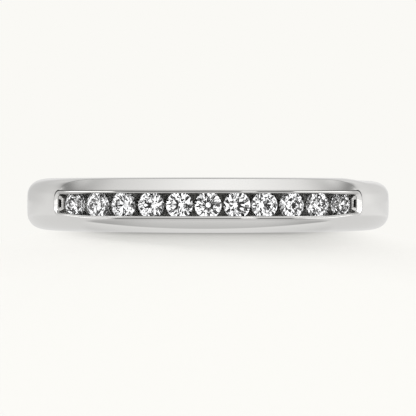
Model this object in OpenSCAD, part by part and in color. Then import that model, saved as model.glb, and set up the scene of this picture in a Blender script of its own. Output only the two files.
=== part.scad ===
/* [Finger hole] */
// Diameter of the finger hole
finger_d = 17.3; // [16:0.1:21]
// Radius that eases the two inner edges of the band
edge_ease = 0.15; // [0.1:0.01:0.2]

/* [Band] */
// Width of the band along the finger
band_w = 2.91; // [2.85:0.01:3.2]
// Metal from the finger hole to the top of the dome
wall_t = 1.65; // [1.5:0.05:2]
// Radius of the nearly flat middle of the dome
crown_r = 12; // [9:0.5:14]
// Radius of the round shoulders
shoulder_r = 0.88; // [0.8:0.01:0.9]
// Radius of the flanks below the shoulders
flank_r = 2; // [1.9:0.05:2.3]
// How far below the top of the dome the sides become flat
flank_drop = 1.25; // [1.2:0.01:1.3]

/* [Stones] */
// How many stones stand in the row
stone_count = 11; // [5:2:13]
// Diameter of a stone at its girdle
stone_d = 1.38; // [1.2:0.01:1.4]
// Space between the girdles of neighbouring stones at the middle of the row
stone_gap = 0.11; // [0.08:0.01:0.2]
// How much wider each step of the row is than the one before it, in degrees
step_growth = 0.2; // [0:0.05:0.25]
// Turn of each stone about its own axis against its neighbour, in degrees
stone_turn = 17; // [0:1:45]
// Diameter of the table
table_d = 0.79; // [0.7:0.01:0.82]
// Angle of the crown facets to the table
crown_angle = 34.5; // [32:0.5:36]
// Angle of the pavilion facets to the table
pavilion_angle = 41; // [39:0.5:42]
// Thickness of the girdle
girdle_t = 0.04; // [0.02:0.01:0.05]
// How far out the points of the star facets lie, as a share of table radius plus girdle radius
star_reach = 0.53; // [0.5:0.01:0.56]
// How far in the lower girdle facets end, as a share of the girdle's radius
lower_reach = 0.24; // [0.2:0.01:0.35]

/* [Channel] */
// How far each rail reaches over the edges of the stones
lip = 0.09; // [0.04:0.005:0.1]
// Width of a rail's flat top
rail_t = 0.1; // [0.08:0.01:0.14]
// Height of the rails above the dome
rail_h = 0.05; // [0.03:0.01:0.1]
// How far the tables lie below the top of the rails
table_drop = 0.03; // [0.01:0.01:0.06]
// Free space between a stone and the metal
seat_gap = 0.02; // [0.01:0.005:0.03]
// Width of the flat at the bottom of the channel
floor_w = 0.2; // [0.1:0.05:0.3]
// Space from the last stone to the end wall of the channel
end_gap = 0.54; // [0.3:0.02:0.7]
// Thickness of the end wall
end_wall = 0.42; // [0.3:0.02:0.5]
// Radius of the end wall's outer corners
end_round = 0.5; // [0.3:0.05:0.6]

/* [Facets] */
// Width of the upper facet at the middle of the row
upper_w = 0.64; // [0.4:0.01:0.68]
// How square the upper facet's ends are
upper_square = 14; // [8:1:20]
// How far the upper facet stops short of the channel's outer end
upper_short = 0.37; // [0.2:0.01:0.6]
// Width of the lower facet at the middle of the row
lower_w = 0.47; // [0.3:0.01:0.6]
// How far the lower facet stops short of the channel's outer end
lower_short = 2.3; // [1:0.05:3]
// How far below the dome the facets start at the foot of the rails
facet_foot = 0.03; // [0.02:0.005:0.05]

/* [Hidden] */
$fn = 128;
metal = [0.86, 0.86, 0.85];
diamond = [0.93, 0.95, 0.97];
overshoot = 0.6;
facet_steps = 40;
least_facet = 0.02;
foot_fade = 0.15;
under_lip = 0.04;

// Radii from the finger's axis
finger_r = finger_d / 2;
out_r = finger_r + wall_t;
rail_r = out_r + rail_h;
table_r = rail_r - table_drop;
stone_r = stone_d / 2;
crown_h = (stone_r - table_d / 2) * tan(crown_angle);
pavilion_h = stone_r * tan(pavilion_angle);
girdle_top = table_r - crown_h;
girdle_low = girdle_top - girdle_t;
culet_r = girdle_low - pavilion_h;

// Half widths, measured from the band's middle
half_w = band_w / 2;
open_hw = stone_r - lip;
rail_hw = open_hw + rail_t;

// Angles round the finger, in degrees from the middle of the row
function arc_angle(length) = length / out_r * 180 / PI;
half_count = (stone_count - 1) / 2;
first_step = 2 * asin((stone_d + stone_gap) / 2 / girdle_low);
function stone_angle(k) =
    let (n = k - 1 - half_count, steps = abs(n))
    sign(n) * (steps * first_step + step_growth * steps * (steps - 1) / 2);
open_end = stone_angle(stone_count) + asin(stone_r / girdle_low) + arc_angle(end_gap);
wall_end = open_end + arc_angle(end_wall);

// The dome's section: three arcs that run into each other, as points [radius, half width]
flat_r = out_r - flank_drop;
crown_c = [out_r - crown_r, 0];
flank_c = [flat_r, half_w - flank_r];
function circles_meet(a, ra, b, rb) =
    let (d = norm(b - a), u = (b - a) / d, along = (d * d + ra * ra - rb * rb) / (2 * d))
    a + along * u - sqrt(ra * ra - along * along) * [-u[1], u[0]];
shoulder_c = circles_meet(flank_c, flank_r - shoulder_r, crown_c, crown_r - shoulder_r);
crown_end = crown_c + (shoulder_c - crown_c) * crown_r / (crown_r - shoulder_r);
flank_start = flank_c + (shoulder_c - flank_c) * flank_r / (flank_r - shoulder_r);
function on_arc(c, r, z) = c[0] + sqrt(r * r - (z - c[1]) * (z - c[1]));
function dome_r(z) =
    z < crown_end[1] ? on_arc(crown_c, crown_r, z)
    : z < flank_start[1] ? on_arc(shoulder_c, shoulder_r, z)
    : on_arc(flank_c, flank_r, z);

// Turns a child from the middle of the row to a place along it
module along_row(angle) {
    rotate([0, 0, angle]) children();
}

// Points a child's +Z outwards from the finger, at a radius and at the band's middle
module outwards(radius) {
    translate([0, -radius, half_w]) rotate([90, 0, 0]) children();
}

// Revolves a section [radius, height from the band's middle] over both sides of the row
module revolve_row(half_angle) {
    rotate([0, 0, -90 - half_angle])
        translate([0, 0, half_w])
            rotate_extrude(angle = 2 * half_angle) children();
}

module half_section() {
    difference() {
        translate([finger_r, 0]) square([flat_r - finger_r, half_w]);
        translate([finger_r, half_w - edge_ease]) difference() {
            square(edge_ease);
            translate([edge_ease, 0]) circle(edge_ease);
        }
    }
    intersection() {
        translate(flank_c) circle(flank_r);
        translate([flat_r, 0]) square([flank_start[0] - flat_r, half_w + overshoot]);
    }
    intersection() {
        translate(shoulder_c) circle(shoulder_r);
        polygon([
            shoulder_c,
            shoulder_c + 2 * (crown_end - shoulder_c),
            [out_r + overshoot, half_w + overshoot],
            shoulder_c + 2 * (flank_start - shoulder_c)
        ]);
    }
    intersection() {
        translate(crown_c) circle(crown_r);
        translate([flat_r, 0]) square([flank_drop + overshoot, crown_end[1]]);
    }
}

module blank() {
    translate([0, 0, half_w]) rotate_extrude() {
        half_section();
        mirror([0, 1]) half_section();
    }
}

// What a facet takes off, on the side of the row where half widths are positive. At each step
// along the row it is the metal outside a straight line, which runs from the foot of the rail
// to the facet's outer crease. share gives the facet's width at a share of its reach
module facet_cut(reach, full_w, share) {
    inner = rail_hw - rail_t / 2;
    far = half_w + overshoot;
    top = out_r + overshoot;
    sections = [for (i = [0:facet_steps])
        let (
            a = reach * sin(180 * i / facet_steps - 90),
            part = share(abs(a) / reach),
            crease = rail_hw + max(full_w * part, least_facet),
            slope = (dome_r(rail_hw) - dome_r(crease)) / (crease - rail_hw),
            foot = dome_r(rail_hw) - facet_foot * (part - foot_fade) / (1 - foot_fade)
        )
        [for (p = [[top, inner], [top, far], [foot - slope * (far - rail_hw), far],
                   [foot + slope * (rail_hw - inner), inner]])
            [p[0] * sin(a), -p[0] * cos(a), p[1]]]
    ];
    sides = [for (i = [0:facet_steps - 1], j = [0:3])
        let (p = 4 * i + j, q = 4 * i + (j + 1) % 4)
        each [[p, q, q + 4], [p, q + 4, p + 4]]];
    last = 4 * facet_steps;
    polyhedron(
        points = [for (s = sections) each s],
        faces = concat(sides, [[3, 2, 1], [3, 1, 0]],
            [[last, last + 1, last + 2], [last, last + 2, last + 3]])
    );
}

module facets() {
    translate([0, 0, half_w])
        facet_cut(wall_end - arc_angle(upper_short), upper_w,
            function (u) 1 - pow(u, upper_square));
    translate([0, 0, half_w]) mirror([0, 0, 1])
        facet_cut(wall_end - arc_angle(lower_short), lower_w, function (u) 1 - u * u);
}

// One end of the raised frame seen from outside, with its two rounded corners
module frame_end() {
    intersection() {
        union() {
            for (z = [-1, 1])
                translate([0, z * (rail_hw - end_round)]) circle(end_round);
            translate([0, end_round - rail_hw])
                square([end_round, 2 * (rail_hw - end_round)]);
        }
        translate([0, -rail_hw]) square([end_round, 2 * rail_hw]);
    }
}

// The raised frame round the stones
module channel_frame() {
    foot_r = out_r - wall_t / 2;
    corner_angle = arc_angle(end_round);
    revolve_row(wall_end - corner_angle)
        translate([foot_r, -rail_hw]) square([rail_r - foot_r, 2 * rail_hw]);
    intersection() {
        translate([0, 0, half_w - rail_hw]) cylinder(r = rail_r, h = 2 * rail_hw);
        for (side = [0, 1])
            along_row((1 - 2 * side) * (wall_end - corner_angle)) outwards(foot_r)
                mirror([side, 0, 0]) linear_extrude(wall_t) frame_end();
    }
}

// The channel's section: its mouth, the notch that holds the girdles, and the sloping seat
module channel_section() {
    lip_under = girdle_top + lip * tan(crown_angle) + under_lip;
    side = [
        [rail_r + overshoot, open_hw],
        [lip_under, open_hw],
        [girdle_top + seat_gap, stone_r + seat_gap],
        [girdle_low - seat_gap, stone_r + seat_gap],
        [culet_r - under_lip, floor_w / 2]
    ];
    last = len(side) - 1;
    polygon(concat(side, [for (i = [last:-1:0]) [side[i][0], -side[i][1]]]));
}

module band() {
    color(metal) difference() {
        union() {
            difference() {
                blank();
                facets();
            }
            channel_frame();
        }
        revolve_row(open_end) channel_section();
    }
}

// A ring of points round a stone's axis
function ring(count, radius, height, turn = 0) =
    [for (i = [0:count - 1])
        [radius * cos(360 * i / count + turn), radius * sin(360 * i / count + turn), height]];

// A round brilliant with its table at height 0: eight star, eight kite and sixteen upper
// girdle facets over a sixteen-sided girdle, and sixteen lower girdle and eight main facets
module brilliant() {
    table_half = table_d / 2;
    half_step = 180 / 8;
    star_r = (table_half + stone_r) * star_reach;
    star_z = -(star_r * cos(half_step) - table_half) * tan(crown_angle);
    low_r = stone_r * lower_reach;
    low_z = -crown_h - girdle_t - (stone_r - low_r * cos(half_step)) * tan(pavilion_angle);
    points = concat(
        ring(8, table_half, 0),
        ring(8, star_r, star_z, half_step),
        ring(16, stone_r, -crown_h),
        ring(16, stone_r, -crown_h - girdle_t),
        ring(8, low_r, low_z, half_step),
        [[0, 0, -crown_h - girdle_t - pavilion_h]]
    );
    table = 0;
    star = 8;
    upper = 16;
    lower = 32;
    low = 48;
    culet = 56;
    faces = concat(
        [[for (i = [7:-1:0]) table + i]],
        [for (i = [0:7]) let (n = (i + 1) % 8, b = (i + 7) % 8) each [
            [table + i, table + n, star + i],
            [table + i, star + i, upper + 2 * i],
            [table + i, upper + 2 * i, star + b],
            [star + i, upper + 2 * i + 1, upper + 2 * i],
            [star + i, upper + 2 * n, upper + 2 * i + 1],
            [low + i, lower + 2 * i, lower + 2 * i + 1],
            [low + i, lower + 2 * i + 1, lower + 2 * n],
            [culet, lower + 2 * i, low + i],
            [culet, low + b, lower + 2 * i]
        ]],
        [for (i = [0:15]) let (n = (i + 1) % 16) each [
            [upper + i, upper + n, lower + n],
            [upper + i, lower + n, lower + i]
        ]]
    );
    polyhedron(points = points, faces = faces);
}

module stone(k) {
    color(diamond)
        along_row(stone_angle(k)) outwards(table_r) rotate([0, 0, stone_turn * k]) brilliant();
}

function stone_name(k) = str("stone_", k);

band();
for (k = [1:stone_count]) stone(k);
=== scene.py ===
import math
import bpy
import mathutils
import numpy as np
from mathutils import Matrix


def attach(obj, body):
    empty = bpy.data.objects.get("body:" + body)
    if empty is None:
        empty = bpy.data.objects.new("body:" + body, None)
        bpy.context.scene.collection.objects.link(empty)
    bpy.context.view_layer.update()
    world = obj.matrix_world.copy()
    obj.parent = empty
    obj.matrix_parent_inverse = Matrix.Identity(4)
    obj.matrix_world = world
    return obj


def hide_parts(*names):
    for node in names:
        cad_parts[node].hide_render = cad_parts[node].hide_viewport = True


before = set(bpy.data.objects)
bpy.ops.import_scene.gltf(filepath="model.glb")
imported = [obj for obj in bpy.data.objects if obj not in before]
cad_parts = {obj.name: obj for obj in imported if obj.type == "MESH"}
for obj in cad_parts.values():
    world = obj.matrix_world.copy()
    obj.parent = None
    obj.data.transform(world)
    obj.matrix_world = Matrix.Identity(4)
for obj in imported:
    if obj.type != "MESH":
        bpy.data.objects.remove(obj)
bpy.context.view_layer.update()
scene = bpy.context.scene
mm = 0.001
print("frame loaded:", len(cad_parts), "nodes")

# sizes in millimetres and degrees, as in the part's source but for the facets' finer fit
ringSizes = {
    "fingerRadius": 8.65, "topRadius": 10.30, "halfWidth": 1.455, "edgeEase": 0.15,
    "crownRadius": 12.0, "shoulderRadius": 0.88, "flankRadius": 2.0, "flatRadius": 9.05,
    "railHalf": 0.70, "openHalf": 0.60, "railRadius": 10.35,
    "openEnd": 51.33, "wallEnd": 53.66, "outerCorner": 0.50,
    "upperWidth": 0.676, "upperReach": 52.4, "upperMiddle": 0.0, "upperSquare": 14,
    "lowerWidth": 0.47, "lowerReach": 40.9, "lowerMiddle": -3.1, "lowerSquare": 2,
    "leastFacet": 0.02, "facetFoot": 0.03, "footFade": 0.15, "creaseRound": 0.03,
    "farAbove": 99.0,
}
perDegree = math.radians(1) * ringSizes["topRadius"]  # millimetres along the top of the dome


def smooth(value, low, high):
    # 0 below low, 1 above high, and a soft S between them
    t = np.clip((value - low) / (high - low), 0, 1)
    return t * t * (3 - 2 * t)


def arcsMeet(a, ra, b, rb):
    # the point where two circles cross, on the outer side
    a, b = np.array(a), np.array(b)
    d = np.linalg.norm(b - a)
    u = (b - a) / d
    along = (d * d + ra * ra - rb * rb) / (2 * d)
    return a + along * u - math.sqrt(ra * ra - along * along) * np.array([-u[1], u[0]])


def sectionArcs():
    # centres [radius, half width] of the dome's three arcs, and where they run into each other
    g = ringSizes
    crown = np.array([g["topRadius"] - g["crownRadius"], 0.0])
    flank = np.array([g["flatRadius"], g["halfWidth"] - g["flankRadius"]])
    fromCrown = g["crownRadius"] - g["shoulderRadius"]
    fromFlank = g["flankRadius"] - g["shoulderRadius"]
    shoulder = arcsMeet(flank, fromFlank, crown, fromCrown)
    crownEnd = crown + (shoulder - crown) * g["crownRadius"] / fromCrown
    flankStart = flank + (shoulder - flank) * g["flankRadius"] / fromFlank
    return crown, shoulder, flank, crownEnd[1], flankStart[1]


crownCentre, shoulderCentre, flankCentre, crownEnd, flankStart = sectionArcs()


def domeRadius(z):
    # three circular arcs in a row: radius from the finger's axis at half width z
    z = np.abs(z)

    def onArc(c, r):
        return c[0] + np.sqrt(np.maximum(r * r - (z - c[1]) ** 2, 0))
    return np.where(z < crownEnd, onArc(crownCentre, ringSizes["crownRadius"]),
                    np.where(z < flankStart, onArc(shoulderCentre, ringSizes["shoulderRadius"]),
                             onArc(flankCentre, ringSizes["flankRadius"])))


def facetRadius(angle, z, side):
    # a straight line across the facet, from the rail's foot to its outer crease; the facet is as
    # wide as its full width times 1 - u ** square, where u is the share of its reach along the
    # row, and past its reach the line lies far above the dome
    g, name = ringSizes, "upper" if side > 0 else "lower"
    u = np.clip(np.abs(angle - g[name + "Middle"]) / g[name + "Reach"], 0, 1)
    share = 1 - u ** g[name + "Square"]
    rail = g["railHalf"]
    crease = rail + np.maximum(g[name + "Width"] * share, g["leastFacet"])
    slope = (domeRadius(rail) - domeRadius(crease)) / (crease - rail)
    foot = domeRadius(rail) - g["facetFoot"] * (share - g["footFade"]) / (1 - g["footFade"])
    return np.where(u < 1, foot - slope * (np.abs(z) - rail), g["farAbove"])


def skinRadius(angle, z, side):
    # the smaller of the dome's and the facet's heights, rounded a little over where they cross
    dome, facet, k = domeRadius(z), facetRadius(angle, z, side), ringSizes["creaseRound"]
    h = np.maximum(k - np.abs(dome - facet), 0) / k
    return np.minimum(dome, facet) - h * h * k / 4


def onRing(angle, radius, z):
    # degrees from the middle of the row, radius and half width, to a place in the frame
    a = np.radians(angle)
    up = z + ringSizes["halfWidth"]
    return np.stack([radius * np.sin(a), -radius * np.cos(a), up], axis=-1) * mm


def gridFaces(rows, columns):
    # four-sided faces over a grid that is closed both ways, pointing outwards from the ring
    r, c = np.meshgrid(np.arange(rows), np.arange(columns), indexing="ij")
    rn, cn = (r + 1) % rows, (c + 1) % columns
    corners = [rn * columns + c, rn * columns + cn, r * columns + cn, r * columns + c]
    return np.stack(corners, axis=-1).reshape(-1, 4)


def makePiece(name, points, faces, attributes=None, smoothShaded=True):
    # a mesh from points and faces, with one number per point for each attribute
    mesh = bpy.data.meshes.new(name)
    mesh.from_pydata(points.reshape(-1, 3).tolist(), [], [list(face) for face in faces])
    for label, values in (attributes or {}).items():
        layer = mesh.attributes.new(label, "FLOAT", "POINT")
        layer.data.foreach_set("value", values.astype(np.float32).ravel())
    mesh.polygons.foreach_set("use_smooth", np.full(len(mesh.polygons), smoothShaded))
    mesh.validate()
    mesh.update()
    piece = bpy.data.objects.new(name, mesh)
    scene.collection.objects.link(piece)
    return piece


# the rim's outline as the eye meets it: its lower rail draws in toward both ends, and at its left
# end the outside lies a little further in and the opening a little further out
rimShape = {
    "lowerNarrows": 0.28, "narrowSpan": (35.5, 55.5),
    "leftOuter": -0.020, "leftInner": 0.14, "leftSpan": (30, 50),
}


def narrowing(angle):
    # how much closer to the middle of the row the lower rail lies, as a factor
    return 1 - rimShape["lowerNarrows"] * smooth(np.abs(angle), *rimShape["narrowSpan"])


def rimHalf(angle):
    # the half height of a rectangle with round corners at this angle
    g = ringSizes
    corner = g["outerCorner"]
    past = np.abs(angle) * perDegree - (g["wallEnd"] * perDegree - corner)
    past = np.clip(past - np.where(angle < 0, rimShape["leftOuter"], 0), 0, corner)
    return g["railHalf"] - corner + np.sqrt(corner ** 2 - past ** 2)


# the shank with its two facets; it is open under the rim, down to a floor below the stones
shankSettings = {
    # columns in degrees: along the row, near the channel's end, just past it, and round the back
    "rowEnd": 50.5, "rowStep": 0.33, "nearStart": 50.7, "nearStep": 0.12,
    "lipStep": 0.02, "pastStart": 0.14, "pastEnd": 56.0, "pastStep": 0.2, "backColumns": 150,
    # rows across each facet and each side of the dome, and how much they crowd at both ends
    "facetRows": 16, "facetCrowd": 0.85, "domeRows": 46, "domeCrowd": 0.45, "domeRungs": 4000,
    "creaseRungs": 900, "creaseClear": 0.01, "creaseLeast": 0.05,
    "creaseRows": (-0.014, -0.006, 0.005, 0.012, 0.021),
    # the opening under the rim, with the rows of its floor as shares of its half width
    "openBeyond": 0.025, "openEnd": 52.5, "floorRadius": 9.40,
    "floorRows": (-0.995, -0.6, -0.2, 0.2, 0.6, 0.995),
    "sideRadii": (8.97, 8.88), "easeRows": 6, "boreRows": 9,
    # where the facets' finish and the channel's raw finish lie; the raw finish is rough, and its
    # darker tone is painted shade
    "facetBlend": 0.01, "facetAbove": 9.2,
    "rawRadii": (9.3, 9.42), "rawHalf": 0.73, "rawEnd": 53.2,
    # past the row's right end the upper shoulder is worn lower, by a share of its half width
    "worn": 0.085, "wornSpan": (51, 66), "wornFade": (110, 150),
}


def spaced(count, near):
    # shares from 0 to 1 that crowd together at both ends
    t = np.linspace(0, 1, count)
    return (1 - near) * t + near * 0.5 * (1 - np.cos(np.pi * t))


def shankColumns():
    # the angles of all columns: the front half mirrored about the row's middle, then the back
    s = shankSettings
    end = s["openEnd"]
    front = np.concatenate([
        np.arange(0, s["rowEnd"], s["rowStep"]), np.arange(s["nearStart"], end, s["nearStep"]),
        [end, end + s["lipStep"]], np.arange(end + s["pastStart"], s["pastEnd"], s["pastStep"])])
    front = np.unique(np.round(np.concatenate([-front, front]), 4))
    back = np.linspace(front[-1], 360 + front[0], s["backColumns"] + 2)[1:-1]
    return np.concatenate([front, back])


def creasePlace(angle, side, least):
    # the half width where the facet's line leaves the dome, looked up on a fine ladder
    s, g = shankSettings, ringSizes
    ladder = np.linspace(g["railHalf"], g["halfWidth"] - s["creaseClear"], s["creaseRungs"])
    below = facetRadius(angle[:, None], ladder[None, :], side) < domeRadius(ladder)[None, :]
    last = below.shape[1] - 1 - np.argmax(below[:, ::-1], axis=1)
    return np.maximum(np.where(below.any(axis=1), ladder[last], 0), least)


def shankSkins(turned, opens):
    # rows over both skins, outwards from the opening: some up to the crease, a few close to it,
    # and the rest spread by length along the dome to its edge
    s, g = shankSettings, ringSizes
    ladder = np.linspace(0, g["halfWidth"], s["domeRungs"])
    steps = np.hypot(np.diff(ladder), np.diff(domeRadius(ladder)))
    length = np.concatenate([[0], np.cumsum(steps)])
    skins = {}
    for side in (-1, 1):
        openHalf = opens[side][:, None]
        crease = creasePlace(turned, side, opens[1] + s["creaseLeast"])[:, None]
        across = openHalf + (crease - openHalf) * spaced(s["facetRows"], s["facetCrowd"])[None, :]
        start = np.interp(crease, ladder, length)
        t = spaced(s["domeRows"] + 1, s["domeCrowd"])[1:][None, :]
        beyond = np.interp(start + (length[-1] - start) * t, length, ladder)
        close = crease + np.array(s["creaseRows"])[None, :]
        z = np.sort(np.concatenate([across, close, beyond], axis=1), axis=1)
        skins[side] = (side * z, skinRadius(turned[:, None], z, side))
    return skins


def shankSection(angle):
    # rows of (half width, radius) round the whole section for each angle: lower skin from its
    # edge inwards, channel floor, upper skin outwards, upper side, bore and lower side
    s, g = shankSettings, ringSizes
    turned = np.where(angle > 180, angle - 360, angle)
    upperHalf = rimHalf(turned) + s["openBeyond"]
    opens = {-1: upperHalf * narrowing(turned), 1: upperHalf}
    skins = shankSkins(turned, opens)
    inChannel = (np.abs(turned) < s["openEnd"] + s["lipStep"] / 2)[:, None]
    shares = np.array(s["floorRows"])[None, :]
    floorZ = shares * np.where(shares < 0, opens[-1][:, None], opens[1][:, None])
    floorR = np.where(inChannel, s["floorRadius"], domeRadius(floorZ))
    # the sides run down to eased edges that quarter circles round into the bore
    turn = np.radians(np.linspace(0, 90, s["easeRows"]))
    ease, bore = g["edgeEase"], g["fingerRadius"]
    sideR = np.concatenate([s["sideRadii"], bore + ease - ease * np.sin(turn)])
    sideZ = g["halfWidth"] - np.concatenate([[0, 0], ease - ease * np.cos(turn)])
    boreZ = np.linspace(g["halfWidth"] - ease, ease - g["halfWidth"], s["boreRows"])[1:-1]
    wide = np.ones((len(angle), 1))
    z = np.concatenate([skins[-1][0][:, ::-1], floorZ, skins[1][0],
                        wide * sideZ, wide * boreZ, -wide * sideZ[::-1]], axis=1)
    r = np.concatenate([skins[-1][1][:, ::-1], floorR, skins[1][1],
                        wide * sideR, wide * (0 * boreZ + bore), wide * sideR[::-1]], axis=1)
    return turned, z, r


def buildShank():
    # the section carried round the finger; the facet finish lies where a facet cuts the dome by
    # more than a hair, and the raw finish on the channel's floor, rough and with a darker tone of
    # painted shade
    s = shankSettings
    columns = shankColumns()
    turned, z, r = shankSection(columns)
    facet = np.zeros(z.shape)
    onSkin = (np.abs(z) > ringSizes["openHalf"]) * (r > s["facetAbove"])
    for side in (-1, 1):
        depth = domeRadius(z) - facetRadius(turned[:, None], z, side)
        cut = np.clip(depth / s["facetBlend"], 0, 1)
        facet = np.maximum(facet, cut * (np.sign(z) == side) * onSkin)
    low, high = s["rawRadii"]
    rawAndShaded = (r < high) & (r > low) & (np.abs(z) < s["rawHalf"])
    rawAndShaded = rawAndShaded & (np.abs(turned) < s["rawEnd"])[:, None]
    worn = smooth(turned, *s["wornSpan"]) * (1 - smooth(turned, *s["wornFade"]))
    z = np.where(z > 0, z * (1 - s["worn"] * worn[:, None]), z)
    return makePiece("band_shank", onRing(columns[:, None], r, z), gridFaces(*z.shape),
                     {"facet": facet, "rawAndShaded": rawAndShaded, "paintedShade": 0 * z})


shank = buildShank()
print("shank:", len(shank.data.polygons), "faces")

# the rim round the stones, one closed skin from its hidden foot over its top and down inside;
# "facing" pairs are shares of the outward direction between which an effect comes in
rimSettings = {
    "sideSteps": 280, "endSteps": 48, "cornerSteps": 16, "innerCorner": 0.28,
    "endFacing": (0.35, 0.95), "railFacing": (0.2, 0.9), "leanFacing": (0.12, 0.70),
    "cornerFacing": (0.10, 0.50), "asideSpan": (24, 32), "endSpan": (37, 44),
    # how far the strip at the foot and the wall stand out, by place
    "apron": 0.095, "apronEnd": 0.08, "cornerLift": 0.012,
    "wallOut": 0.040, "wallOutBelow": 0.014, "wallOutAside": 0.018, "wallOutEnd": -0.015,
    "footRows": [  # from the strip's edge or the wall, how far out and up, how much painted shade, strip or not
        ("strip", -0.020, -0.250, 0.0, 0.0), ("strip", 0.0, -0.004, 1.0, 1.0),
        ("strip", -0.004, 0.002, 1.0, 1.0), ("wall", 0.008, 0.003, 1.0, 1.0),
        ("wall", 0.0, 0.006, 0.6, 0.0),
    ],
    # the narrow edge: its width, how far it falls or stands up, and its rounded outer rows;
    # the flat's outer row takes a share of the crevice's painted shade
    "edgeWide": 0.050, "edgeFall": 0.006, "edgeRise": 0.004, "edgeUnder": 0.020,
    "edgeRows": [(0.003, 0.012), (0.008, 0.004), (0.013, 0.001)],
    "edgeInner": 0.004, "edgeInnerFall": 0.08, "flatOuter": 0.003, "flatOuterDark": 0.5,
    # the flat top, which carries painted shade, and the lip over the stones, whose raw finish is
    # rough and has a darker tone of painted shade
    "flatRows": 9, "flatStart": 0.08, "upperSlope": 0.004, "endTilt": 0.055, "endCrown": 0.010,
    "flatShade": 0.18, "flatShadeAside": 0.20, "flatShadeBelow": 0.38,
    "lipShift": -0.020, "lipShiftEnd": 0.055, "lipShiftBelow": -0.040,
    "bevel": 0.045, "bevelEnd": 0.014, "lipTurns": (20, 40, 60, 80), "lipDrop": 0.006,
    "lipUnder": 10.225, "lipRaw": 0.9, "lipRawUnder": 0.8, "endRaw": 0.2,
    # the notch for the girdles, the slit in each end wall, painted dark as shade, and the ledge
    # below it, whose raw finish is rough with a darker tone of painted shade
    "notchHalf": 0.735, "notchTop": 10.150, "notchLow": 10.045, "notchEndRaw": 0.3,
    "shelfRise": 0.10, "shelfRiseLow": 0.195, "slitSink": 0.16,
    "slitAt": 0.08, "slitSpan": (0.17, 0.25), "slitDark": (0.9, 0.7, 0.8),
    "slitDepth": 0.15, "shelfRadius": 10.25, "shelfFall": 0.7,
    "ledge": [  # share of the way in, radius, how raw and how much painted shade
        (0.03, 9.86, 1.0, 0.8), (0.09, 9.86, 1.0, 0.8), (0.14, 10.05, 1.0, 0.5),
        (0.18, 10.10, 0.4, 0.1), (0.23, 10.15, 0.15, 0.0), (0.28, 10.16, 0.15, 0.0),
        (0.33, 10.15, 0.3, 0.0), (0.38, 10.12, 0.5, 0.1), (0.43, 10.02, 0.9, 0.5),
        (0.52, 9.92, 1.0, 0.7), (0.66, 9.80, 1.0, 0.6), (0.80, 9.68, 1.0, 0.5),
        (1.0, 9.44, 1.0, 0.5),
    ],
    "ledgeFacing": (0.15, 0.9), "ledgeRough": 0.012, "roughUntil": 0.4, "roughSeed": 5,
    "floorHalf": 0.10, "floorCorner": 0.09, "floorRadius": 9.437, "floorSink": 9.30,
    "endRoom": 0.60,
    # painted shade in the crevice at the rim's foot: from and to along both rails, and a gap in it
    # for one gleam; then painted shade on the strip round the upper rail's corners
    "darkFrom": -28.6, "darkTo": 25.8, "darkSoft": 1, "gleamAt": 11.9, "gleamSpan": (1.7, 2.9),
    "upperDark": 0.80, "lowerDark": 0.82, "upperPart": (0.10, 0.50),
    "apronDark": 0.35, "apronDarker": 0.55, "apronSpan": (38, 46), "darkerSpan": (48.5, 51.2),
    "apronEndLess": 0.45, "apronEndFacing": (0.75, 1.0),
}


def roundedOutline(halfLength, halfHeight, corner):
    # a rectangle with round corners walked once round, the same number of points on each part
    s = rimSettings
    t = np.linspace(0, 1, s["sideSteps"], endpoint=False)
    q = np.linspace(0, np.pi / 2, s["cornerSteps"], endpoint=False)
    e = np.linspace(0, 1, s["endSteps"], endpoint=False)
    lx, hy = halfLength - corner, halfHeight - corner
    half = np.concatenate([
        np.stack([-lx + 2 * lx * t, 0 * t + halfHeight]),
        np.stack([lx + corner * np.sin(q), hy + corner * np.cos(q)]),
        np.stack([0 * e + halfLength, hy - 2 * hy * e]),
        np.stack([lx + corner * np.cos(q), -hy - corner * np.sin(q)]),
    ], axis=1)
    return np.concatenate([half, -half], axis=1)


def settled(outline, leftShift):
    # the outline with its left end moved out and its lower rail drawn in
    angle = outline[0] / perDegree
    x = outline[0] - leftShift * smooth(-angle, *rimShape["leftSpan"])
    return np.stack([x, np.where(outline[1] < 0, outline[1] * narrowing(angle), outline[1])])


def paintedRimShade(place, outward):
    # how much painted shade lies in the crevice at the rim's foot: strong along the middle of both
    # rails but for one gleam, then on the upper rail only, and round its outer corners
    s = rimSettings
    angle = place[0] / perDegree
    soft = s["darkSoft"]
    middle = smooth(angle, s["darkFrom"] - soft, s["darkFrom"] + soft)
    middle = middle * (1 - smooth(angle, s["darkTo"] - soft, s["darkTo"] + soft))
    middle = middle * smooth(np.abs(angle - s["gleamAt"]), *s["gleamSpan"])
    edge = np.where(place[1] > 0, s["upperDark"], s["lowerDark"]) * middle
    corner = s["apronDark"] + s["apronDarker"] * smooth(np.abs(angle), *s["darkerSpan"])
    apron = smooth(place[1], *s["upperPart"]) * smooth(np.abs(angle), *s["apronSpan"]) * corner
    apron = apron * (1 - s["apronEndLess"] * smooth(np.abs(outward[0]), *s["apronEndFacing"]))
    return edge, apron


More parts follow.
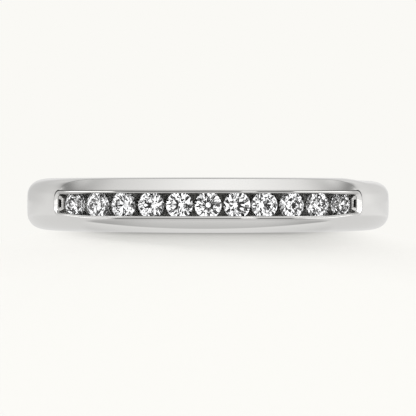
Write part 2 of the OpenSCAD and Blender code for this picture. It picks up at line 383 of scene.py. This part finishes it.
def rimRings():
    # closed rings of points, each the outline moved in or out by some distance at some radius,
    # and its raw finish (rough, with a darker tone of painted shade), its painted shade and its
    # strip finish; above, below, atEnd and the like are masks from 0 to 1
    s, g, r = rimSettings, ringSizes, rimShape
    railTop = g["railRadius"]
    outer = settled(roundedOutline(g["wallEnd"] * perDegree, g["railHalf"], g["outerCorner"]),
                    r["leftOuter"])
    inner = settled(roundedOutline(g["openEnd"] * perDegree, g["openHalf"], s["innerCorner"]),
                    r["leftInner"])
    along = np.roll(outer, -1, axis=1) - np.roll(outer, 1, axis=1)
    outward = np.stack([-along[1], along[0]]) / np.hypot(*along)
    endwise, away = np.abs(outward[0]), np.abs(outer[0]) / perDegree
    atEnd = smooth(endwise, *s["endFacing"])
    leaning = smooth(endwise, *s["leanFacing"])
    atCorner = smooth(endwise, *s["cornerFacing"])
    below = smooth(-outward[1], *s["railFacing"])
    above = smooth(outward[1], *s["railFacing"])
    atSides, nearEnd = smooth(away, *s["asideSpan"]), smooth(away, *s["endSpan"])
    shift = (s["lipShift"] + s["lipShiftEnd"] * nearEnd) * above - s["lipShiftBelow"] * below
    inner = inner - outward * shift
    edgeDark, apronDark = paintedRimShade(outer, outward)
    rings = []

    def put(place, radius, rawAndShaded=0.0, paintedShade=0.0, facet=0.0):
        zero = 0 * place[0]
        rings.append((place[0] / perDegree, place[1], radius + zero,
                      rawAndShaded + zero, paintedShade + zero, facet + zero))

    # hidden foot, a thin burnished strip on the skin that carries painted shade toward the upper
    # corners, and the upright wall
    wall = s["wallOut"] - (s["wallOut"] - s["wallOutBelow"]) * below
    wall = wall + s["wallOutAside"] * below * atSides + s["wallOutEnd"] * atEnd
    strip = s["apron"] + s["apronEnd"] * atCorner * above
    for start, distance, height, paintedShade, facet in s["footRows"]:
        place = outer + outward * ((strip if start == "strip" else wall) + distance)
        angle, z = place[0] / perDegree, place[1]
        skin = np.where(z > 0, skinRadius(angle, z, 1), skinRadius(angle, z, -1))
        lift = s["cornerLift"] * atCorner * (height > 0)
        put(place, skin + height + lift, paintedShade=apronDark * paintedShade, facet=facet)
    # a narrow edge that slopes up to the flat, with the crevice's painted shade on its rows;
    # beside the lower rail's ends it stands up instead
    top = outer + outward * wall
    edgeFall = s["edgeFall"] - (s["edgeFall"] + s["edgeRise"]) * below * atSides
    put(top, railTop - edgeFall - s["edgeUnder"])
    for q, fall in s["edgeRows"]:
        put(top - outward * q, railTop - edgeFall - fall, paintedShade=edgeDark)
    start = top - outward * s["edgeWide"]
    put(start + outward * s["edgeInner"], railTop - edgeFall * s["edgeInnerFall"], paintedShade=edgeDark)
    put(start - outward * s["flatOuter"], railTop, paintedShade=s["flatOuterDark"] * edgeDark)
    # the top: each rail slopes a little toward the stones, and the end walls lean to the row;
    # painted shade lies on the flat, on the upper rail more toward the sides, on the lower rail
    # toward the sides only, and none on the end walls
    gap = np.hypot(*(inner - start))
    bevel = s["bevelEnd"] + (s["bevel"] - s["bevelEnd"]) * (1 - leaning)
    finish = inner + (start - inner) * (bevel / gap)
    flatDark = (s["flatShade"] + s["flatShadeAside"] * atSides) * above
    flatDark = (flatDark + s["flatShadeBelow"] * below * atSides) * (1 - leaning)
    slope = s["upperSlope"] * above * (1 - atEnd)
    for p in np.linspace(s["flatStart"], 1, s["flatRows"]):
        lean = leaning * (s["endTilt"] * p + s["endCrown"] * (2 * p - 1) ** 2)
        put(start + (finish - start) * p, railTop - slope * p - lean, paintedShade=flatDark)
    drop = slope + leaning * (s["endTilt"] + s["endCrown"])
    # the lip's raw finish is rough, and its darker tone is painted shade; less of it at the ends
    for q in np.radians(s["lipTurns"]):
        put(finish + (inner - finish) * np.sin(q), railTop - bevel * (1 - np.cos(q)) - drop,
            rawAndShaded=s["lipRaw"] * (1 - leaning))
    put(inner, railTop - bevel - s["lipDrop"] - drop,
        rawAndShaded=s["lipRaw"] + (s["endRaw"] - s["lipRaw"]) * leaning)
    # below the lip: the notch for the girdles along the sides, and the seat down to the floor;
    # at the ends a deep slit, painted dark as shade, beside an uneven ledge of cut metal that falls
    # away to the stones, raw and with painted shade
    slit = atEnd * (1 - smooth(np.abs(inner[1] - s["slitAt"]), *s["slitSpan"]))
    shelf = atEnd * (1 - slit)
    lipDark, topDark, lowDark = s["slitDark"]
    put(inner, s["lipUnder"], paintedShade=lipDark * slit,
        rawAndShaded=s["lipRawUnder"] + (s["endRaw"] - s["lipRawUnder"]) * leaning)
    notchHalf = s["notchHalf"] * np.where(outer[1] < 0, narrowing(outer[0] / perDegree), 1)
    notch = inner + outward * np.maximum(notchHalf - np.abs(inner[1]), 0) * (1 - atEnd)
    notchRaw = 1.0 + (s["notchEndRaw"] - 1.0) * shelf
    put(notch, s["notchTop"] + s["shelfRise"] * shelf, rawAndShaded=notchRaw, paintedShade=topDark * slit)
    put(notch, s["notchLow"] - s["slitSink"] * slit + s["shelfRiseLow"] * shelf,
        rawAndShaded=notchRaw, paintedShade=lowDark * slit)
    bottom = roundedOutline(g["openEnd"] * perDegree - s["endRoom"], s["floorHalf"],
                            s["floorCorner"])
    draw = np.random.default_rng(s["roughSeed"])
    blend = smooth(atEnd, *s["ledgeFacing"])
    for p, radius, raw, paintedShade in s["ledge"]:
        side = s["notchLow"] + (s["floorRadius"] - s["notchLow"]) * p
        bump = draw.normal(0, s["ledgeRough"], len(atEnd)) * (1 if p < s["roughUntil"] else 0)
        # the rows next to the wall are deep only in the slit, and shallow beside it
        deep = 1.0 if p > s["slitDepth"] else slit
        shallow = s["shelfRadius"] - s["shelfFall"] * p
        level = shallow + (radius - shallow) * deep + bump
        raw = s["endRaw"] + (raw - s["endRaw"]) * deep
        put(notch + (bottom - notch) * p, side + (level - side) * blend,
            rawAndShaded=1 + (raw - 1) * blend, paintedShade=paintedShade * deep * blend)
    put(bottom, s["floorSink"], rawAndShaded=1.0)
    return [np.stack(part) for part in zip(*rings)]


rimAngle, rimZ, rimRadius, rimInside, rimPaintedShade, rimFacet = rimRings()
rim = makePiece("channel_rim", onRing(rimAngle, rimRadius, rimZ), gridFaces(*rimZ.shape),
                {"facet": rimFacet, "rawAndShaded": rimInside, "paintedShade": rimPaintedShade})
print("rim:", len(rim.data.polygons), "faces")

# the stones: round brilliants, each set by hand and so tilted and turned a little its own way
stoneSizes = {
    "radius": 0.71, "tableRadius": 0.395, "crownAngle": 34.5, "pavilionAngle": 41.0,
    "girdle": 0.04, "starReach": 0.53, "lowerReach": 0.24, "tableAt": 10.32,
    # angle along the row, tilt toward the row's middle, nod up, turn about the stone's own axis
    "set": [
        (-44.85, 6.0, 0.0, 17), (-35.45, 3.0, 0.5, 34), (-26.15, 1.0, -0.5, 51),
        (-17.16, 0.5, 0.5, 68), (-8.48, 0.3, 0.0, 85), (0.0, 1.5, -1.2, 97),
        (8.6, 0.3, -0.5, 119), (17.0, 0.5, 0.4, 136), (25.8, 1.0, 0.0, 153),
        (35.1, 3.0, -0.4, 170), (44.7, 2.5, -0.6, 210),
    ],
}


def stoneRing(count, radius, height, turn=0.0):
    # count points on a circle at one height
    a = np.radians(360 * np.arange(count) / count + turn)
    return np.stack([radius * np.cos(a), radius * np.sin(a), height + 0 * a], axis=1)


def brilliantShape():
    # table, star, kite and upper girdle facets over the girdle; lower girdle and main facets
    # below; heights are distances inwards times the tangents of the crown and pavilion angles
    s = stoneSizes
    crown = math.tan(math.radians(s["crownAngle"]))
    pavilion = math.tan(math.radians(s["pavilionAngle"]))
    crownHeight = (s["radius"] - s["tableRadius"]) * crown
    half = 360 / 16
    starRadius = (s["tableRadius"] + s["radius"]) * s["starReach"]
    starHeight = -(starRadius * math.cos(math.radians(half)) - s["tableRadius"]) * crown
    lowRadius = s["radius"] * s["lowerReach"]
    below = -crownHeight - s["girdle"]
    lowHeight = below - (s["radius"] - lowRadius * math.cos(math.radians(half))) * pavilion
    points = np.concatenate([
        stoneRing(8, s["tableRadius"], 0), stoneRing(8, starRadius, starHeight, half),
        stoneRing(16, s["radius"], -crownHeight), stoneRing(16, s["radius"], below),
        stoneRing(8, lowRadius, lowHeight, half), [[0, 0, below - s["radius"] * pavilion]]])
    table, star, upper, lower, low, culet = 0, 8, 16, 32, 48, 56
    faces = [list(range(8))]
    for i in range(8):
        n, b = (i + 1) % 8, (i + 7) % 8
        faces += [[table + n, table + i, star + i], [star + i, table + i, upper + 2 * i],
                  [upper + 2 * i, table + i, star + b],
                  [upper + 2 * i + 1, star + i, upper + 2 * i],
                  [upper + 2 * n, star + i, upper + 2 * i + 1],
                  [lower + 2 * i, low + i, lower + 2 * i + 1],
                  [lower + 2 * i + 1, low + i, lower + 2 * n], [lower + 2 * i, culet, low + i],
                  [low + b, culet, lower + 2 * i]]
    for i in range(16):
        n = (i + 1) % 16
        faces += [[upper + n, upper + i, lower + n], [lower + n, upper + i, lower + i]]
    return points, faces, -crownHeight - s["girdle"] / 2


def turnAbout(axis, degrees):
    # the matrix that turns points about one axis
    return np.array(mathutils.Matrix.Rotation(math.radians(degrees), 3, axis))


def buildStones():
    # every point is turned about the stone's axis, tilted about the middle of its girdle,
    # and carried out to its place along the row
    s = stoneSizes
    shape, faces, girdle = brilliantShape()
    radius = s["tableAt"] + girdle
    up = np.array([0, 0, 1])
    pieces = []
    for k, (angle, tilt, nod, turn) in enumerate(s["set"], start=1):
        local = shape @ turnAbout("Z", turn).T - girdle * up
        lean = turnAbout("Y", -math.copysign(tilt, angle)) @ turnAbout("X", -nod)
        sideways, upwards, outwards = np.hsplit(local @ lean.T, 3)
        a = math.radians(angle)
        outward = np.array([math.sin(a), -math.cos(a), 0])
        along = np.array([math.cos(a), math.sin(a), 0])
        points = outward * (radius + outwards) + along * sideways
        points = points + up * (upwards + ringSizes["halfWidth"])
        pieces.append(makePiece(f"diamond_{k}", points * mm, faces, smoothShaded=False))
    return pieces


stones = buildStones()
print("stones:", len(stones))

# finishes: the scales are cycles per metre
metalSettings = {
    "colour": (0.80, 0.796, 0.785, 1), "roughness": 0.10, "cloudRoughness": (0.8, 1.25),
    # the near-black colour is painted shade, and the raw channel's darker colour is painted shade
    # too
    "facetRoughness": 0.15, "paintedShadeColour": (0.05, 0.05, 0.05, 1),
    "rawShadedColour": (0.36, 0.36, 0.35, 1), "insideRoughness": 0.38, "cutTones": (0.35, 1.65),
    "streakStretch": (160, 160, 9000), "streakDetail": 4.0, "cloudScale": 420.0,
    "cloudDetail": 3.0, "cutScale": 8000.0, "cutDetail": 2.0,
    "bumpStrength": 0.12, "bumpDepth": 0.000004,
}
diamondSettings = {
    "index": 2.417, "tint": (0.985, 0.99, 1.0, 1), "cloudScale": 900.0,
    # the facets' outside mirror is dimmed in the material, as painted shade for the dark lens that
    # would fill most of what they mirror
    "outsideMirror": (0.25, 0.25, 0.25, 1),
}


def newMaterial(name):
    # an empty node tree with its output
    material = bpy.data.materials.new(name)
    material.use_nodes = True
    nodes, links = material.node_tree.nodes, material.node_tree.links
    nodes.clear()
    out = nodes.new("ShaderNodeOutputMaterial")
    return material, nodes, links, out


def addNode(nodes, kind, **values):
    # a node with some of its own settings
    node = nodes.new(kind)
    for key, value in values.items():
        setattr(node, key, value)
    return node


def nodeTools(nodes, links):
    # short ways to reckon in a node tree; each value is a number, a colour or a node's output
    def feed(sockets, values):
        for socket, value in zip(sockets, values):
            if isinstance(value, (int, float, tuple)):
                socket.default_value = value
            else:
                links.new(value, socket)

    def reckon(operation, *values):
        # one step of maths
        node = addNode(nodes, "ShaderNodeMath", operation=operation)
        feed(node.inputs, values)
        return node.outputs[0]

    def eased(value, low, high, start=0.0, end=1.0, soft=True):
        # start below low, end above high, and a soft S or a straight line between them
        kind = "SMOOTHSTEP" if soft else "LINEAR"
        node = addNode(nodes, "ShaderNodeMapRange", interpolation_type=kind)
        names = ("Value", "From Min", "From Max", "To Min", "To Max")
        feed([node.inputs[name] for name in names], (value, low, high, start, end))
        return node.outputs["Result"]

    def mixed(factor, a, b, colour=False):
        # a where factor is 0 and b where it is 1
        node = addNode(nodes, "ShaderNodeMix", data_type="RGBA" if colour else "FLOAT")
        first = 6 if colour else 2
        feed((node.inputs[0], node.inputs[first], node.inputs[first + 1]), (factor, a, b))
        return node.outputs[2 if colour else 0]

    def ramp(value, table, top=1.0):
        # straight lines through the table's points; top is the most that a point may be
        curve = nodes.new("ShaderNodeFloatCurve")
        points = curve.mapping.curves[0].points
        low, high = table[0][0], table[-1][0]
        for i, (x, y) in enumerate(table):
            place = ((x - low) / (high - low), y / top)
            if i < 2:
                points[i].location = place
            else:
                points.new(*place)
        for point in points:
            point.handle_type = "VECTOR"
        curve.mapping.update()
        links.new(eased(value, low, high, soft=False), curve.inputs["Value"])
        return reckon("MULTIPLY", curve.outputs[0], top)

    return feed, reckon, eased, mixed, ramp


def polishedWhiteGold():
    # a mirror polish with faint rubbing marks that run round the ring, a duller channel inside
    # whose darker tone is painted shade, and a near-black painted shade where the mesh calls for it
    m = metalSettings
    material, nodes, links, out = newMaterial("polished_white_gold")
    mixed = nodeTools(nodes, links)[3]
    shader = nodes.new("ShaderNodeBsdfPrincipled")
    shader.inputs["Metallic"].default_value = 1.0
    place = nodes.new("ShaderNodeTexCoord")

    def noise(scale, detail, source):
        node = nodes.new("ShaderNodeTexNoise")
        node.inputs["Scale"].default_value = scale
        node.inputs["Detail"].default_value = detail
        links.new(source, node.inputs["Vector"])
        return node.outputs["Fac"]

    def painted(name):
        return addNode(nodes, "ShaderNodeAttribute", attribute_name=name).outputs["Fac"]

    stretch = nodes.new("ShaderNodeMapping")
    stretch.inputs["Scale"].default_value = m["streakStretch"]
    links.new(place.outputs["Object"], stretch.inputs["Vector"])
    streaks = noise(1.0, m["streakDetail"], stretch.outputs["Vector"])
    cloud = noise(m["cloudScale"], m["cloudDetail"], place.outputs["Object"])
    cuts = noise(m["cutScale"], m["cutDetail"], place.outputs["Object"])
    facet, rawAndShaded, paintedShade = painted("facet"), painted("rawAndShaded"), painted("paintedShade")
    rough = mixed(cloud, *(m["roughness"] * share for share in m["cloudRoughness"]))
    rough = mixed(facet, rough, m["facetRoughness"])
    rough = mixed(rawAndShaded, rough, m["insideRoughness"])
    links.new(rough, shader.inputs["Roughness"])
    # painted shade: the raw channel's darker tone, varied at random like cut metal, then the
    # near-black colour where the shade attribute says
    cutTones = [tuple(c * share for c in m["rawShadedColour"][:3]) + (1,) for share in m["cutTones"]]
    tone = mixed(rawAndShaded, m["colour"], mixed(cuts, *cutTones, True), True)
    tone = mixed(paintedShade, tone, m["paintedShadeColour"], True)
    links.new(tone, shader.inputs["Base Color"])
    bump = nodes.new("ShaderNodeBump")
    bump.inputs["Strength"].default_value = m["bumpStrength"]
    bump.inputs["Distance"].default_value = m["bumpDepth"]
    links.new(streaks, bump.inputs["Height"])
    links.new(bump.outputs["Normal"], shader.inputs["Normal"])
    links.new(shader.outputs["BSDF"], out.inputs["Surface"])
    return material


def clearDiamond():
    # clear and colourless, with the faintest cool cloud in its body
    d = diamondSettings
    material, nodes, links, out = newMaterial("clear_diamond")
    mixed = nodeTools(nodes, links)[3]
    shader = nodes.new("ShaderNodeBsdfPrincipled")
    shader.inputs["Roughness"].default_value = 0.0
    shader.inputs["IOR"].default_value = d["index"]
    shader.inputs["Transmission Weight"].default_value = 1.0
    shader.inputs["Specular Tint"].default_value = d["outsideMirror"]
    place = nodes.new("ShaderNodeTexCoord")
    cloud = nodes.new("ShaderNodeTexNoise")
    cloud.inputs["Scale"].default_value = d["cloudScale"]
    links.new(place.outputs["Object"], cloud.inputs["Vector"])
    tint = mixed(cloud.outputs["Fac"], d["tint"], (1, 1, 1, 1), True)
    links.new(tint, shader.inputs["Base Color"])
    links.new(shader.outputs["BSDF"], out.inputs["Surface"])
    return material


gold = polishedWhiteGold()
diamond = clearDiamond()
for piece in (shank, rim):
    piece.data.materials.append(gold)
    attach(piece, "root")
    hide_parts("band")
for k, piece in enumerate(stones, start=1):
    piece.data.materials.append(diamond)
    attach(piece, "root")
    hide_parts(f"stone_{k}")
print("finishes done")

# light that comes from all round: az is degrees from straight behind the ring (+ to the right),
# el is height above the floor
backdrop = (0.956, 0.947, 0.913, 1)
lightTint = (1, 0.995, 0.985, 1)
skySettings = {
    # how bright the sky is at each height, for directions so many degrees from straight behind
    "columns": {
        0: [(0, 0.78), (10, 0.80), (18, 0.68), (26, 0.56), (34, 0.48), (42, 0.24), (66, 0.22),
            (76, 0.40), (84, 0.95), (90, 1.02)],
        9: [(0, 0.80), (12, 0.84), (18, 0.72), (25, 0.64), (34, 0.56), (42, 0.26), (66, 0.22),
            (76, 0.45), (84, 0.97), (90, 1.02)],
        20: [(0, 0.67), (14, 0.67), (22, 0.68), (28, 0.76), (34, 0.76), (40, 0.36), (46, 0.22),
             (64, 0.22), (76, 0.60), (84, 1.00), (90, 1.02)],
        30: [(0, 0.71), (12, 0.70), (22, 0.69), (28, 0.74), (33, 0.76), (38, 0.36), (44, 0.22),
             (60, 0.26), (72, 0.70), (82, 1.00), (90, 1.02)],
        40: [(0, 0.75), (12, 0.70), (25, 0.72), (32, 0.74), (36, 0.40), (40, 0.24), (52, 0.26),
             (60, 0.55), (72, 0.86), (82, 0.98), (90, 1.02)],
        50: [(0, 0.80), (12, 0.73), (25, 0.76), (31, 0.69), (35, 0.36), (41, 0.26), (50, 0.50),
             (60, 0.80), (72, 0.90), (82, 0.98), (90, 1.02)],
        61: [(0, 0.90), (8, 0.80), (18, 0.79), (26, 0.70), (30, 0.50), (34, 0.30), (38, 0.29),
             (41, 0.36), (44, 0.51), (47, 0.63), (50, 0.76), (57, 0.85), (68, 0.92), (78, 0.96),
             (90, 1.04)],
        84: [(0, 0.72), (12, 0.66), (22, 0.62), (30, 0.36), (36, 0.29), (40, 0.35), (44, 0.45),
             (47, 0.58), (50, 0.78), (56, 0.85), (63, 0.90), (70, 0.96), (78, 0.99), (90, 1.04)],
        130: [(0, 0.60), (4, 0.90), (14, 0.95), (30, 0.60), (43, 0.50), (50, 0.90), (56, 1.20),
              (63, 1.50), (72, 1.60), (80, 1.20), (90, 1.06)],
        180: [(0, 0.60), (4, 0.90), (14, 0.98), (30, 0.80), (43, 1.20), (50, 1.70), (56, 1.95),
              (63, 1.98), (72, 1.80), (80, 1.20), (90, 1.06)],
    },
    "brightest": 2.0, "rightGain": 1.08, "leftGain": 0.94, "gainSpan": (-0.5, 0.5),
    "panels": [  # az centre, az half width, el centre, el half height, soft edge, brightness
        (102, 23, 0, 26, 4, 2.1), (-102, 23, 0, 26, 4, 2.1), (156, 4, 0, 14, 3, 2.2),
    ],
    # the stones' cards: how small they are, and from which share on each brightness holds
    "cardScale": 3.4, "cards": [(0.0, 0.0), (0.18, 0.36), (0.34, 0.80), (0.62, 1.50)],
    "lensHalf": 22, "lensSoft": 1, "lensColour": (0.01, 0.01, 0.01, 1),
}


def buildSky():
    # brightness by height and direction, with bright panels in it; the camera sees the plain
    # backdrop, and light that comes through the stones gathers cards and the dark lens
    s = skySettings
    world = bpy.data.worlds.new("studio_light")
    scene.world = world
    world.use_nodes = True
    nodes, links = world.node_tree.nodes, world.node_tree.links
    nodes.clear()
    feed, reckon, eased, mixed, ramp = nodeTools(nodes, links)
    towards = nodes.new("ShaderNodeTexCoord")
    split = nodes.new("ShaderNodeSeparateXYZ")
    links.new(towards.outputs["Generated"], split.inputs[0])
    x, y, z = split.outputs
    perRadian = 180 / math.pi
    el = reckon("MULTIPLY", reckon("ARCSINE", z), perRadian)
    az = reckon("MULTIPLY", reckon("ARCTAN2", x, y), perRadian)
    away = reckon("ABSOLUTE", az)
    columns = sorted(s["columns"].items())
    value = ramp(el, columns[0][1], s["brightest"])
    for (before, _), (after, table) in zip(columns, columns[1:]):
        share = eased(away, before, after, soft=False)
        value = mixed(share, value, ramp(el, table, s["brightest"]))
    gain = mixed(eased(x, *s["gainSpan"]), s["leftGain"], s["rightGain"])
    value = reckon("MULTIPLY", value, gain)

    def within(distance, half, soft):
        # 1 nearer than half, 0 further, with a soft edge
        away = reckon("ABSOLUTE", distance)
        return reckon("SUBTRACT", 1.0, eased(away, half - soft / 2, half + soft / 2))

    for centre, half, height, tall, soft, bright in s["panels"]:
        inAz = within(reckon("WRAP", reckon("SUBTRACT", az, centre), 180, -180), half, soft)
        inEl = within(reckon("SUBTRACT", el, height), tall, soft)
        value = mixed(reckon("MULTIPLY", inAz, inEl), value, bright)
    colour = nodes.new("ShaderNodeCombineColor")
    feed(colour.inputs, [reckon("MULTIPLY", value, part) for part in lightTint[:3]])
    # what the stones gather: a wall of white, grey and black cards all round, and the dark lens
    cells = addNode(nodes, "ShaderNodeTexVoronoi", feature="F1")
    cells.inputs["Scale"].default_value = s["cardScale"]
    links.new(towards.outputs["Generated"], cells.inputs["Vector"])
    one = nodes.new("ShaderNodeSeparateColor")
    links.new(cells.outputs["Color"], one.inputs[0])
    cards = nodes.new("ShaderNodeValToRGB")
    cards.color_ramp.interpolation = "CONSTANT"
    stops = cards.color_ramp.elements
    for i, (start, bright) in enumerate(s["cards"]):
        stop = stops[i] if i < 2 else stops.new(start)
        stop.position = start
        stop.color = (bright, bright, bright, 1)
    links.new(one.outputs[0], cards.inputs[0])
    fromLens = reckon("MULTIPLY", reckon("ARCCOSINE", reckon("MULTIPLY", y, -1)), perRadian)
    lens = within(fromLens, s["lensHalf"], 2 * s["lensSoft"])
    seen = nodes.new("ShaderNodeLightPath")
    gathered = mixed(lens, cards.outputs[0], s["lensColour"], True)
    light = mixed(seen.outputs["Is Transmission Ray"], colour.outputs[0], gathered, True)
    light = mixed(seen.outputs["Is Camera Ray"], light, backdrop, True)
    background = nodes.new("ShaderNodeBackground")
    links.new(light, background.inputs["Color"])
    out = nodes.new("ShaderNodeOutputWorld")
    links.new(background.outputs[0], out.inputs["Surface"])


buildSky()
print("sky done")

# the floor and the lamps that give its soft shadows; a painted pool fades the shadows out to the
# left and right, and the floor's glow makes up the light
floorSettings = {
    "half": 40.0, "whiteness": 0.02, "glowShare": 0.37,
    # a painted pool of lamplight: where the floor's lamp-lit share, and with it the shadow, starts
    # to fade to the left and right, and where it ends; the floor's glow makes up the rest
    "paintedPoolFull": 3.5, "paintedPoolEnd": 9.1,
    "lamps": [  # az, el, share of the lamps' light, angle
        (-30, 65, 0.11, 34), (0, 34, 0.08, 18), (-9, 24, 0.12, 16), (-9, 12, 0.11, 10),
        (-9, 8, 0.07, 8), (-9, 5, 0.10, 6), (8, 3.6, 0.05, 4), (-14, 3.6, 0.10, 4),
    ],
    # painted reflection: how bright the floor glows in the metal's reflections, by distance from
    # the finger's axis in mm; a painted shade of the ring there spreads outwards to both sides, by
    # spread times the angle squared
    "mirrored": [
        (8.6, 0.70), (9.05, 0.70), (9.25, 0.76), (9.6, 0.82), (9.84, 0.88), (9.93, 0.62),
        (10.05, 0.60), (10.3, 0.67), (10.6, 0.78), (11.6, 0.76),
    ],
    "spread": 1.6, "shadeFrom": 9.90, "shadeFull": 9.98, "sideShade": 0.24,
    "sideShadeSpan": (0.05, 0.36), "frontSpan": (0.70, 0.78), "mirroredSide": 0.78,
    # further out: the level there, and what it gains to both sides and keeps on the left
    "farSpan": (11.2, 24.0), "mirroredFar": 0.80,
    "sideLift": 1.13, "sideSpan": (0.6, 0.95), "leftShare": 0.93, "leftSpan": (-0.8, 0.2),
}


def mirroredLevel(x, y, reckon, eased, mixed, ramp):
    # painted reflection: how bright the metal sees the floor glow: near the ring a table of levels
    # by distance, less a painted shade of the ring, in front of it and one level elsewhere; far out
    # a level that changes sideways
    s = floorSettings
    radius = reckon("SQRT", reckon("ADD", reckon("MULTIPLY", x, x), reckon("MULTIPLY", y, y)))
    angle = reckon("ARCTAN2", x, reckon("MULTIPLY", y, -1.0))
    turned = reckon("MULTIPLY", angle, angle)
    shifted = reckon("SUBTRACT", radius, reckon("MULTIPLY", turned, s["spread"] * mm))
    level = ramp(shifted, [(distance * mm, bright) for distance, bright in s["mirrored"]])
    shade = reckon("MULTIPLY", eased(shifted, s["shadeFrom"] * mm, s["shadeFull"] * mm),
                   eased(turned, *s["sideShadeSpan"], 0.0, s["sideShade"]))
    ahead = reckon("MULTIPLY", level, reckon("SUBTRACT", 1.0, shade))
    front = eased(reckon("COSINE", angle), *s["frontSpan"])
    near = mixed(front, s["mirroredSide"], ahead)
    across = reckon("DIVIDE", x, radius)
    far = eased(reckon("ABSOLUTE", across), *s["sideSpan"],
                s["mirroredFar"], s["mirroredFar"] * s["sideLift"])
    far = reckon("MULTIPLY", far, eased(across, *s["leftSpan"], s["leftShare"], 1.0))
    return mixed(eased(radius, *(span * mm for span in s["farSpan"])), near, far)


def paleFloor():
    # lamplight and a glow add up to the backdrop everywhere; the lamps' share, and with it the
    # shadow, is painted to fade to the left and right while the glow makes up the light, and the
    # metal sees painted reflection levels of its own
    s = floorSettings
    material, nodes, links, out = newMaterial("pale_floor")
    feed, reckon, eased, mixed, ramp = nodeTools(nodes, links)
    place = nodes.new("ShaderNodeTexCoord")
    split = nodes.new("ShaderNodeSeparateXYZ")
    links.new(place.outputs["Object"], split.inputs[0])
    x, y = split.outputs[0], split.outputs[1]
    paintedPool = eased(reckon("ABSOLUTE", x), s["paintedPoolFull"] * mm, s["paintedPoolEnd"] * mm, 1.0, 0.0)
    white = nodes.new("ShaderNodeCombineColor")
    shares = [part / backdrop[0] * s["whiteness"] for part in backdrop[:3]]
    feed(white.inputs, [reckon("MULTIPLY", paintedPool, share) for share in shares])
    matt = nodes.new("ShaderNodeBsdfDiffuse")
    links.new(white.outputs[0], matt.inputs["Color"])
    glow = nodes.new("ShaderNodeEmission")
    glow.inputs["Color"].default_value = backdrop
    lampShare = reckon("MULTIPLY", paintedPool, 1 - s["glowShare"])
    links.new(reckon("SUBTRACT", 1.0, lampShare), glow.inputs["Strength"])
    both = nodes.new("ShaderNodeAddShader")
    feed(both.inputs, (matt.outputs[0], glow.outputs[0]))
    mirrored = nodes.new("ShaderNodeEmission")
    mirrored.inputs["Color"].default_value = lightTint
    links.new(mirroredLevel(x, y, reckon, eased, mixed, ramp), mirrored.inputs["Strength"])
    seen = nodes.new("ShaderNodeLightPath")
    pick = nodes.new("ShaderNodeMixShader")
    feed(pick.inputs, (seen.outputs["Is Camera Ray"], mirrored.outputs[0], both.outputs[0]))
    links.new(pick.outputs[0], out.inputs["Surface"])
    return material


def buildFloor():
    # one flat square, which the light through the stones passes by
    half = floorSettings["half"]
    corners = np.array([[-half, -half, 0], [half, -half, 0], [half, half, 0], [-half, half, 0]])
    floor = makePiece("studio_floor", corners, np.array([[0, 1, 2, 3]]), smoothShaded=False)
    floor.data.materials.append(paleFloor())
    floor.visible_transmission = False


def hangLamps():
    # suns of some width: one of strength 1 gives brightness albedo / pi on a surface that faces
    # it, so each gets what its share of the floor's light needs at its height
    s = floorSettings
    lampTotal = sum(lamp[2] for lamp in s["lamps"])
    for i, (az, el, share, angle) in enumerate(s["lamps"]):
        lamp = bpy.data.lights.new(f"lamp_{i}", "SUN")
        lamp.angle = math.radians(angle)
        a, e = math.radians(az), math.radians(el)
        wanted = backdrop[0] * (1 - s["glowShare"]) * share / lampTotal
        lamp.energy = wanted * math.pi / (s["whiteness"] * math.sin(e))
        holder = bpy.data.objects.new(f"lamp_{i}", lamp)
        scene.collection.objects.link(holder)
        source = (math.sin(a) * math.cos(e), math.cos(a) * math.cos(e), math.sin(e))
        holder.rotation_mode = "QUATERNION"
        holder.rotation_quaternion = mathutils.Vector(source).to_track_quat("Z", "Y")
        holder.visible_glossy = False
        holder.visible_transmission = False


buildFloor()
hangLamps()
print("floor and lamps done")

# the camera: millimetres from the ring, degrees above level, and the pixel of the photo's frame
# on which the ring's middle falls
cameraSettings = {
    "distance": 110.0, "height": 0.35, "roll": 0.03, "lens": 166.3, "sensor": 36,
    "lookX": 208.0, "lookY": 204.05, "frame": 416, "nearest": 0.005, "furthest": 200,
}


def buildCamera():
    # it looks at the middle of the ring from the front, and its shift moves the picture
    s = cameraSettings
    camera = bpy.data.cameras.new("photo_camera")
    camera.lens = s["lens"]
    camera.sensor_width = s["sensor"]
    camera.clip_start = s["nearest"]
    camera.clip_end = s["furthest"]
    holder = bpy.data.objects.new("photo_camera", camera)
    scene.collection.objects.link(holder)
    e = math.radians(s["height"])
    middle = mathutils.Vector((0, 0, ringSizes["halfWidth"] * mm))
    holder.location = middle + s["distance"] * mm * mathutils.Vector((0, -math.cos(e), math.sin(e)))
    turn = (middle - holder.location).to_track_quat("-Z", "Y")
    holder.rotation_mode = "QUATERNION"
    holder.rotation_quaternion = turn @ mathutils.Quaternion((0, 0, 1), math.radians(s["roll"]))
    camera.shift_x = (s["frame"] / 2 - s["lookX"]) / s["frame"]
    camera.shift_y = (s["lookY"] - s["frame"] / 2) / s["frame"]
    scene.camera = holder


buildCamera()
# plain colours, and bounces enough for light to find its way through the stones
scene.view_settings.view_transform = "Standard"
scene.view_settings.look = "None"
scene.cycles.max_bounces = 16
scene.cycles.transmission_bounces = 16
scene.cycles.glossy_bounces = 8
scene.cycles.caustics_reflective = True
scene.cycles.caustics_refractive = True
print("camera done")
